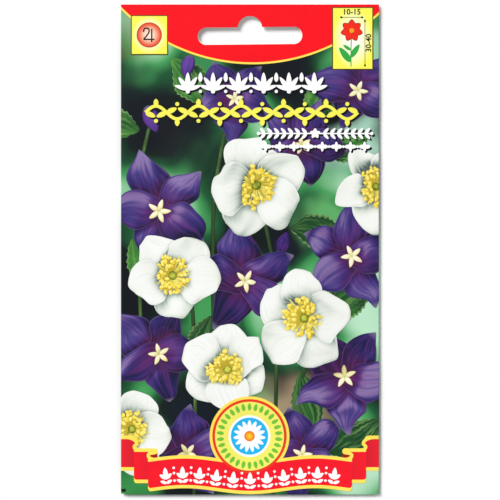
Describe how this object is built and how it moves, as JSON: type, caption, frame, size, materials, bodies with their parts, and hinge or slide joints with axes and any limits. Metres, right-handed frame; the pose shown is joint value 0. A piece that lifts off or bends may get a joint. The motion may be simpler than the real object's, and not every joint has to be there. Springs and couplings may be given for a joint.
{
  "type": "seed packet",
  "caption": "Flat flower-seed packet: a printed paper front folded over a glued back sheet, with loose seeds inside and a shop hang slot through the header.",
  "frame": {"origin": "under the middle of the packet, on the surface that it lies on", "axes": "+Y from the folded bottom edge towards the hang slot, +Z out of the printed front, +X to the right as the front is looked at"},
  "size_m": [0.079, 0.15, 0.0023],
  "materials": {
    "printed_paper": "gloss",
    "plain_paper": "satin",
    "seed_coat": "gloss"
  },
  "bodies": {
    "root": {"front_sheet": "printed_paper", "back_sheet": "plain_paper", "seed_01": "seed_coat", "seed_02": "seed_coat", "seed_03": "seed_coat", "seed_04": "seed_coat", "seed_05": "seed_coat", "seed_06": "seed_coat", "seed_07": "seed_coat", "seed_08": "seed_coat", "seed_09": "seed_coat", "seed_10": "seed_coat", "seed_11": "seed_coat", "seed_12": "seed_coat", "seed_13": "seed_coat", "seed_14": "seed_coat", "seed_15": "seed_coat", "seed_16": "seed_coat", "seed_17": "seed_coat", "seed_18": "seed_coat", "seed_19": "seed_coat", "seed_20": "seed_coat", "seed_21": "seed_coat", "seed_22": "seed_coat", "seed_23": "seed_coat", "seed_24": "seed_coat", "seed_25": "seed_coat", "seed_26": "seed_coat", "seed_27": "seed_coat", "seed_28": "seed_coat", "seed_29": "seed_coat", "seed_30": "seed_coat", "seed_31": "seed_coat", "seed_32": "seed_coat", "seed_33": "seed_coat", "seed_34": "seed_coat", "seed_35": "seed_coat", "seed_36": "seed_coat", "seed_37": "seed_coat", "seed_38": "seed_coat", "seed_39": "seed_coat", "seed_40": "seed_coat"}
  },
  "joints": []
}
